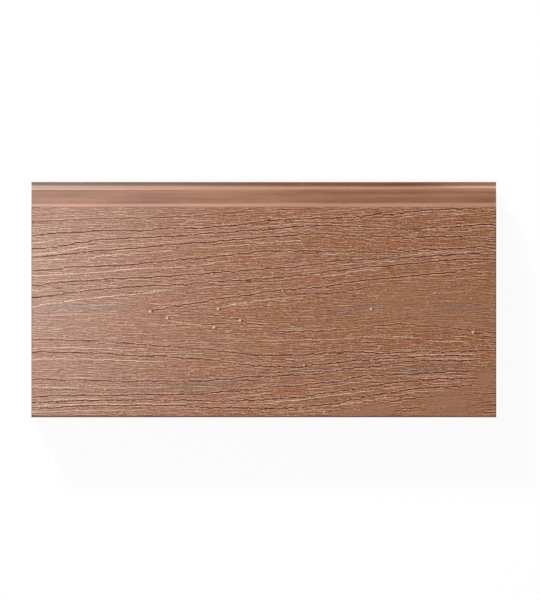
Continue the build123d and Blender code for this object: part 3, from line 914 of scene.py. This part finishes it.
def pressed_composite():
    finish, tree, shader, place = start_finish("pressed wood-plastic composite")
    shader.inputs["IOR"].default_value = 1.48
    shader.inputs["Specular IOR Level"].default_value = 0.3
    grain = add(tree, "ShaderNodeAttribute", attribute_name="grain").outputs["Vector"]

    streak = fibre_pattern(tree, grain, 70, 2.2, 3)
    brown = add(tree, "ShaderNodeMix", {0: streak, 6: linear(FACE_DARK), 7: linear(FACE_PALE)}, data_type="RGBA")
    drift = fibre_pattern(tree, grain, 60, 5, 2)
    drift = add(tree, "ShaderNodeMapRange", {0: drift, 1: 0.35, 2: 0.65})
    hue = add(tree, "ShaderNodeMix", {0: drift.outputs[0], 6: linear(FACE_RED), 7: linear(FACE_OLIVE)},
              data_type="RGBA")
    base = add(tree, "ShaderNodeMix", {0: 0.5, 6: brown.outputs[2], 7: hue.outputs[2]}, data_type="RGBA")
    grey = add(tree, "ShaderNodeAttribute", attribute_name="grey").outputs["Fac"]
    bloom = add(tree, "ShaderNodeMix", {0: grey, 6: base.outputs[2], 7: linear(FACE_GREY)}, data_type="RGBA")

    def mark(name):
        return add(tree, "ShaderNodeAttribute", attribute_name=name).outputs["Fac"]

    dash = fibre_pattern(tree, place, 4.0, 0.8, 0)
    beside = add(tree, "ShaderNodeVectorMath", {0: place, 1: (0, 0.66, 0)}, operation="ADD").outputs[0]
    beside = fibre_pattern(tree, beside, 4.0, 0.8, 0)
    # Painted light and shade: each fine fibre lit on one side and shaded on the other
    lit = add(tree, "ShaderNodeMath", {0: dash, 1: beside}, operation="SUBTRACT").outputs[0]
    turned = add(tree, "ShaderNodeVectorRotate", {"Vector": place, "Angle": 0.5}).outputs[0]
    grit = fibre_pattern(tree, turned, 0.7, 0.6, 0)
    stops = add(tree, "ShaderNodeMapRange", {0: grit, 1: 0, 2: 1, 3: -0.7, 4: 0.7})
    stops = add(tree, "ShaderNodeMath", {0: lit, 1: 0.6, 2: stops.outputs[0]}, operation="MULTIPLY_ADD")
    across = add(tree, "ShaderNodeSeparateXYZ", {0: place}).outputs["Y"]
    across = add(tree, "ShaderNodeMath", {0: across, 1: 2 * math.pi / 1.55}, operation="MULTIPLY").outputs[0]
    bundles = add(tree, "ShaderNodeVectorMath", {0: place, 1: (1 / 6.5, 1 / 2.0, 0)}, operation="MULTIPLY")
    bundles = add(tree, "ShaderNodeTexVoronoi", {"Vector": bundles.outputs[0], "Scale": 1}, voronoi_dimensions="2D")
    bundle = add(tree, "ShaderNodeSeparateXYZ", {0: bundles.outputs["Color"]})
    phase = {0: bundle.outputs["X"], 1: 2 * math.pi, 2: across}
    phase = add(tree, "ShaderNodeMath", phase, operation="MULTIPLY_ADD").outputs[0]
    wave = add(tree, "ShaderNodeMath", {0: phase}, operation="SINE").outputs[0]
    depth = add(tree, "ShaderNodeMapRange", {0: bundle.outputs["Y"], 3: 0.1, 4: 1.0}).outputs[0]
    stops = add(tree, "ShaderNodeMath", {0: wave, 1: depth, 2: stops.outputs[0]}, operation="MULTIPLY_ADD")
    # Painted light on the raised fibres of the mesh and painted shade in their hollows
    stops = add(tree, "ShaderNodeMath", {0: mark("fibre"), 1: 6.0, 2: stops.outputs[0]}, operation="MULTIPLY_ADD")
    stops = add(tree, "ShaderNodeMath", {0: stops.outputs[0], 1: mark("press")}, operation="MULTIPLY")
    light = add(tree, "ShaderNodeGamma", {"Color": (2.0, 2.64, 3.36, 1), "Gamma": stops.outputs[0]})
    toned = add(tree, "ShaderNodeVectorMath", {0: bloom.outputs[2], 1: light.outputs[0]}, operation="MULTIPLY")

    cells = add(tree, "ShaderNodeVectorMath", {0: place, 1: (1 / 3.2, 1 / 6, 0)}, operation="MULTIPLY")
    cells = add(tree, "ShaderNodeTexVoronoi", {"Vector": cells.outputs[0], "Scale": 1}, voronoi_dimensions="2D")
    torn_and_reflection = add(tree, "ShaderNodeSeparateXYZ", {0: cells.outputs["Color"]})
    wander = add(tree, "ShaderNodeMapRange", {0: torn_and_reflection.outputs["X"], 3: -0.42, 4: 0.42}).outputs[0]
    open_cut = add(tree, "ShaderNodeMapRange", {0: torn_and_reflection.outputs["Y"], 3: 0.9, 4: 1.5}).outputs[0]

    def band(distance, inner, outer):
        """One where the distance is small, falling to none between the two limits."""
        limits = {0: distance, 1: inner, 2: outer, 3: 1, 4: 0}
        return add(tree, "ShaderNodeMapRange", limits, interpolation_type="SMOOTHSTEP").outputs[0]

    def times(share, amount):
        return add(tree, "ShaderNodeMath", {0: share, 1: amount}, operation="MULTIPLY", use_clamp=True).outputs[0]

    ragged = add(tree, "ShaderNodeMapRange", {0: grit, 1: 0, 2: 1, 3: -0.3, 4: 0.3}).outputs[0]

    def off_line(distance, share):
        """How far off the nearest line is, which wanders a share about where it is noted."""
        off = {0: wander, 1: share, 2: mark(distance)}
        off = add(tree, "ShaderNodeMath", off, operation="MULTIPLY_ADD")
        off = add(tree, "ShaderNodeMath", {0: off.outputs[0]}, operation="ABSOLUTE").outputs[0]
        return add(tree, "ShaderNodeMath", {0: ragged, 1: off}, operation="ADD").outputs[0]

    off_cut = off_line("from_cut", 1.0)
    # Painted highlight on the rims of each cut, a little stronger on its tongue side
    rim_highlight = {0: band(off_cut, 0.75, 1.3), 1: band(off_cut, 0.35, 0.65)}
    rim_highlight = add(tree, "ShaderNodeMath", rim_highlight, operation="SUBTRACT").outputs[0]
    lit_side = add(tree, "ShaderNodeMapRange", {0: mark("from_cut"), 1: -0.3, 2: 0.3, 3: 0.24, 4: 0.32}).outputs[0]
    rim_highlight = times(times(rim_highlight, mark("rim_highlight")), lit_side)
    off_crest = off_line("from_crest", 0.5)
    # Painted highlight on the crest of each raised edge
    crest = times(band(off_crest, 0.02, 0.3), mark("paleness"))
    # Painted shade on the flanks of each raised edge
    flank = {0: band(off_crest, 0.8, 1.3), 1: band(off_crest, 0.2, 0.42)}
    flank = add(tree, "ShaderNodeMath", flank, operation="SUBTRACT").outputs[0]
    flank = times(times(flank, mark("paleness")), 0.26)
    pale = add(tree, "ShaderNodeMath", {0: crest, 1: rim_highlight}, operation="MAXIMUM").outputs[0]
    # The painted highlights on the lips, and the paler quiet places
    pale = add(tree, "ShaderNodeMath", {0: pale, 1: mark("highlight_and_pale")}, operation="MAXIMUM").outputs[0]
    speck = fibre_pattern(tree, turned, 1.1, 0.8, 0)
    speck = add(tree, "ShaderNodeMapRange", {0: speck, 1: 0.7, 2: 0.82, 3: 0.0, 4: 0.4}).outputs[0]
    pale = add(tree, "ShaderNodeMath", {0: pale, 1: speck}, operation="MAXIMUM").outputs[0]
    lightened = add(tree, "ShaderNodeMix", {0: pale, 6: toned.outputs[0], 7: linear(HIGHLIGHT_AND_FLOUR_PALE)}, data_type="RGBA")
    # Painted shade in the cuts and on the flanks of the crests
    cut = times(band(off_cut, 0.2, 0.58), times(mark("bite"), open_cut))
    cut = add(tree, "ShaderNodeMath", {0: cut, 1: flank}, operation="MAXIMUM").outputs[0]
    scored = add(tree, "ShaderNodeMix", {0: cut, 6: lightened.outputs[2], 7: linear(SHADE_BROWN)}, data_type="RGBA")

    fleck = add(tree, "ShaderNodeAttribute", attribute_name="fleck").outputs["Vector"]
    fleck_size = add(tree, "ShaderNodeSeparateXYZ", {0: fleck}).outputs["Z"]

    def spot(shift, half_long, half_wide):
        """A ragged spot beside the nearest fleck, as strong as the fleck is large."""
        moved = add(tree, "ShaderNodeVectorMath", {0: fleck, 1: shift}, operation="SUBTRACT")
        size = (1 / half_long, 1 / half_wide, 0)
        moved = add(tree, "ShaderNodeVectorMath", {0: moved.outputs[0], 1: size}, operation="MULTIPLY")
        off = add(tree, "ShaderNodeVectorMath", {0: moved.outputs[0]}, operation="LENGTH").outputs["Value"]
        grown = add(tree, "ShaderNodeMath", {0: fleck_size, 1: 0.8, 2: 0.45}, operation="MULTIPLY_ADD")
        off = add(tree, "ShaderNodeMath", {0: off, 1: grown.outputs[0]}, operation="DIVIDE").outputs[0]
        off = add(tree, "ShaderNodeMath", {0: grit, 1: 2.0, 2: off}, operation="MULTIPLY_ADD")
        return times(band(off.outputs[0], 1.5, 2.1), fleck_size)

    # Painted shadow beside each fleck, to its right and a little below it
    shade = spot((1.2, -0.3, 0), 0.8, 0.9)
    shaded = add(tree, "ShaderNodeMix", {0: shade, 6: scored.outputs[2], 7: linear(SHADE_BROWN)}, data_type="RGBA")
    chip = spot((0, 0, 0), 0.85, 0.7)
    colour = add(tree, "ShaderNodeMix", {0: chip, 6: shaded.outputs[2], 7: linear(TORN_FIBRE)}, data_type="RGBA")
    tree.links.new(colour.outputs[2], shader.inputs["Base Color"])

    rough = add(tree, "ShaderNodeMapRange", {0: dash, 1: 0.3, 2: 0.7, 3: 0.31, 4: 0.29})
    tree.links.new(rough.outputs[0], shader.inputs["Roughness"])
    bump = add(tree, "ShaderNodeBump", {"Height": grit, "Distance": 0.03 * MM, "Strength": 1.0})
    tree.links.new(bump.outputs[0], shader.inputs["Normal"])
    return finish


# %% [markdown]
# ### The extruded skin
#
# The tongue, the groove, the back and the cells are as they came off the steel die: smoother, with fine lines
# drawn along the length and a faint sandy sparkle of wood flour.

# %% Extruded skin of wood-plastic composite
SKIN_DARK = "784A35"
SKIN_PALE = "976A4D"
# Grey of the painted sheen on the tongue at the left end
SHEEN_GREY = "9A8B80"


def extruded_composite():
    finish, tree, shader, place = start_finish("extruded wood-plastic composite")
    shader.inputs["IOR"].default_value = 1.43
    line = fibre_pattern(tree, place, 160, 1.6, 3)
    cloud = fibre_pattern(tree, place, 45, 5, 2)
    drawn = add(tree, "ShaderNodeMath", {0: line, 1: cloud}, operation="ADD").outputs[0]
    drawn = add(tree, "ShaderNodeMapRange", {0: drawn, 1: 0.7, 2: 1.3})
    brown = add(tree, "ShaderNodeMix", {0: drawn.outputs[0], 6: linear(SKIN_DARK), 7: linear(SKIN_PALE)},
                data_type="RGBA")
    sand = fibre_pattern(tree, place, 1.0, 0.8, 1)
    sparkle = add(tree, "ShaderNodeMapRange", {0: sand, 1: 0.66, 2: 0.82, 3: 0.0, 4: 0.25})
    # Painted reflection on the slopes of the steps
    torn_and_reflection = add(tree, "ShaderNodeAttribute", attribute_name="highlight_and_pale").outputs["Fac"]
    pale = add(tree, "ShaderNodeMath", {0: sparkle.outputs[0], 1: torn_and_reflection}, operation="MAXIMUM")
    pale = add(tree, "ShaderNodeMix", {0: pale.outputs[0], 6: brown.outputs[2], 7: linear(FLOUR_AND_REFLECTION)}, data_type="RGBA")
    # Painted sheen on the tongue, strongest at the left end
    grey = add(tree, "ShaderNodeAttribute", attribute_name="grey").outputs["Fac"]
    # Paler towards the right end of the tongue
    paleness = add(tree, "ShaderNodeAttribute", attribute_name="paleness").outputs["Fac"]
    lightened = add(tree, "ShaderNodeMix", {0: paleness, 6: pale.outputs[2], 7: linear(HIGHLIGHT_AND_FLOUR_PALE)}, data_type="RGBA")
    sheened = add(tree, "ShaderNodeMix", {0: grey, 6: lightened.outputs[2], 7: linear(SHEEN_GREY)}, data_type="RGBA")
    # Painted shade on the tongue tip and the slopes, and the darker stretch of tongue and land
    bite = add(tree, "ShaderNodeAttribute", attribute_name="bite").outputs["Fac"]
    colour = add(tree, "ShaderNodeMix", {0: bite, 6: sheened.outputs[2], 7: linear(SHADE_BROWN)}, data_type="RGBA")
    tree.links.new(colour.outputs[2], shader.inputs["Base Color"])
    rough = add(tree, "ShaderNodeMapRange", {0: line, 1: 0.3, 2: 0.7, 3: 0.32, 4: 0.42})
    tree.links.new(rough.outputs[0], shader.inputs["Roughness"])
    height = add(tree, "ShaderNodeMath", {0: line, 1: sand}, operation="ADD")
    bump = add(tree, "ShaderNodeBump", {"Height": height.outputs[0], "Distance": 0.06 * MM, "Strength": 1.0})
    tree.links.new(bump.outputs[0], shader.inputs["Normal"])
    return finish


# %% [markdown]
# ### The sawn ends
#
# The saw opens the body of the board: dull, paler, speckled with wood flour, and scored upwards by the teeth.

# %% Sawn end of wood-plastic composite
SAWN_BROWN = "855741"
SAWN_FLOUR = "B48D74"


def sawn_composite():
    finish, tree, shader, place = start_finish("sawn wood-plastic composite")
    shader.inputs["IOR"].default_value = 1.43
    shader.inputs["Roughness"].default_value = 0.75
    flour = add(tree, "ShaderNodeTexNoise", {"Vector": place, "Scale": 1 / 0.7, "Detail": 2})
    tooth = add(tree, "ShaderNodeVectorMath", {0: place, 1: (0, 1 / 0.5, 1 / 12)}, operation="MULTIPLY")
    score = add(tree, "ShaderNodeTexNoise", {"Vector": tooth.outputs[0], "Scale": 1, "Detail": 2})
    mixed = add(tree, "ShaderNodeMath", {0: flour.outputs[0], 1: score.outputs[0]}, operation="ADD")
    share = add(tree, "ShaderNodeMapRange", {0: mixed.outputs[0], 1: 0.7, 2: 1.3})
    colour = add(tree, "ShaderNodeMix", {0: share.outputs[0], 6: linear(SAWN_BROWN), 7: linear(SAWN_FLOUR)},
                 data_type="RGBA")
    tree.links.new(colour.outputs[2], shader.inputs["Base Color"])
    bump = add(tree, "ShaderNodeBump", {"Height": mixed.outputs[0], "Distance": 0.12 * MM, "Strength": 1.0})
    tree.links.new(bump.outputs[0], shader.inputs["Normal"])
    return finish


for make in (pressed_composite, extruded_composite, sawn_composite):
    mesh.materials.append(make())
print([m.name for m in mesh.materials])

# %% [markdown]
# ## Floor, light and camera
#
# The board lies on a white floor. A lamp close above the left end gives the pale sheen there, and a far, low one
# past the tongue edge rakes over the grain. The camera looks straight down from far off.

# %% Floor
FLOOR_WHITE = "F4F4F4"
FLOOR_LIFT = 0.94  # share of plain white in what the camera sees of the floor
FLOOR_REACH = 20.0
FLOOR_LEVEL = -0.1 * MM  # just below the back, so that the two don't lie in one plane

corners = [(-FLOOR_REACH, -FLOOR_REACH, FLOOR_LEVEL), (FLOOR_REACH, -FLOOR_REACH, FLOOR_LEVEL),
           (FLOOR_REACH, FLOOR_REACH, FLOOR_LEVEL), (-FLOOR_REACH, FLOOR_REACH, FLOOR_LEVEL)]
floor_mesh = bpy.data.meshes.new("floor")
floor_mesh.from_pydata(corners, [], [(0, 1, 2, 3)])
floor = bpy.data.objects.new("floor", floor_mesh)
bpy.context.collection.objects.link(floor)


def seen_rays(tree):
    """One for the rays that see the backdrop, straight, in a gloss or through glass, and none for the rest."""
    rays = add(tree, "ShaderNodeLightPath").outputs
    seen = add(tree, "ShaderNodeMath", {0: rays["Is Camera Ray"], 1: rays["Is Glossy Ray"]}, operation="MAXIMUM")
    through = {0: seen.outputs[0], 1: rays["Is Transmission Ray"]}
    return add(tree, "ShaderNodeMath", through, operation="MAXIMUM").outputs[0]


white = bpy.data.materials.new("white floor")
white.use_nodes = True
tree = white.node_tree
tree.nodes.clear()
share = add(tree, "ShaderNodeMath", {0: seen_rays(tree), 1: FLOOR_LIFT}, operation="MULTIPLY")
paint = add(tree, "ShaderNodeBsdfDiffuse", {"Color": linear(FLOOR_WHITE)})
glow = add(tree, "ShaderNodeEmission", {"Color": (1, 1, 1, 1), "Strength": 1.0})
mixed = add(tree, "ShaderNodeMixShader", {0: share.outputs[0], 1: paint.outputs[0], 2: glow.outputs[0]})
below = add(tree, "ShaderNodeNewGeometry").outputs["Backfacing"]
clear = add(tree, "ShaderNodeBsdfTransparent")
sheet = add(tree, "ShaderNodeMixShader", {0: below, 1: mixed.outputs[0], 2: clear.outputs[0]})
add(tree, "ShaderNodeOutputMaterial", {"Surface": sheet.outputs[0]})
floor_mesh.materials.append(white)
print("floor", 2 * FLOOR_REACH, "m wide")

# %% World and lamps
WORLD_FILL = 0.22
HORIZON = 0.03  # how high above the horizon the backdrop ends, as a share of straight up

world = bpy.data.worlds.new("studio")
bpy.context.scene.world = world
world.use_nodes = True
tree = world.node_tree
tree.nodes.clear()
direction = add(tree, "ShaderNodeTexCoord").outputs["Generated"]
up = add(tree, "ShaderNodeSeparateXYZ", {0: direction}).outputs["Z"]
low = add(tree, "ShaderNodeMath", {0: up, 1: HORIZON}, operation="LESS_THAN")
backdrop = add(tree, "ShaderNodeMath", {0: low.outputs[0], 1: seen_rays(tree)}, operation="MULTIPLY")
level = add(tree, "ShaderNodeMapRange", {0: backdrop.outputs[0], 1: 0, 2: 1, 3: WORLD_FILL, 4: 1})
sky = add(tree, "ShaderNodeBackground", {"Color": (1, 1, 1, 1), "Strength": level.outputs[0]})
add(tree, "ShaderNodeOutputWorld", {"Surface": sky.outputs[0]})


def lamp(name, place, aim, size, power):
    """A rectangular soft lamp at a place, turned to its aim, in metres and watts."""
    data = bpy.data.lights.new(name, "AREA")
    data.shape = "RECTANGLE"
    data.size, data.size_y = size
    data.energy = power
    made = bpy.data.objects.new(name, data)
    made.location = place
    made.rotation_mode = "QUATERNION"
    made.rotation_quaternion = (Vector(aim) - Vector(place)).to_track_quat("-Z", "Y")
    made.visible_camera = False
    bpy.context.collection.objects.link(made)
    print(name, place, power, "W")


lamp("sheen lamp", (-0.2, 0.02, 0.77), (-0.2, 0.02, 0.02), (0.12, 0.2), 2.2)
lamp("raking lamp", (-2.1, 4.2, 1.8), (0.0, 0.0, 0.02), (1.0, 0.4), 474)

# %% Camera
PICTURE_PIXELS = (540, 600)
CAMERA_HEIGHT = 10.0  # above the show face
board_middle = (PICTURE_LEFT + PICTURE_WIDE / 2, PICTURE_TOP + PICTURE_HIGH / 2)

camera_data = bpy.data.cameras.new("camera")
camera_data.sensor_width = 36
camera_data.lens = camera_data.sensor_width * CAMERA_HEIGHT / (PICTURE_PIXELS[1] * pixel * MM)
camera = bpy.data.objects.new("camera", camera_data)
camera.location = (
    (PICTURE_PIXELS[0] / 2 - board_middle[0]) * pixel * MM,
    (board_middle[1] - PICTURE_PIXELS[1] / 2) * pixel * MM,
    THICKNESS * MM + CAMERA_HEIGHT,
)
bpy.context.collection.objects.link(camera)
bpy.context.scene.camera = camera
bpy.context.scene.view_settings.view_transform = "Standard"
print("lens", round(camera_data.lens, 1), "mm")
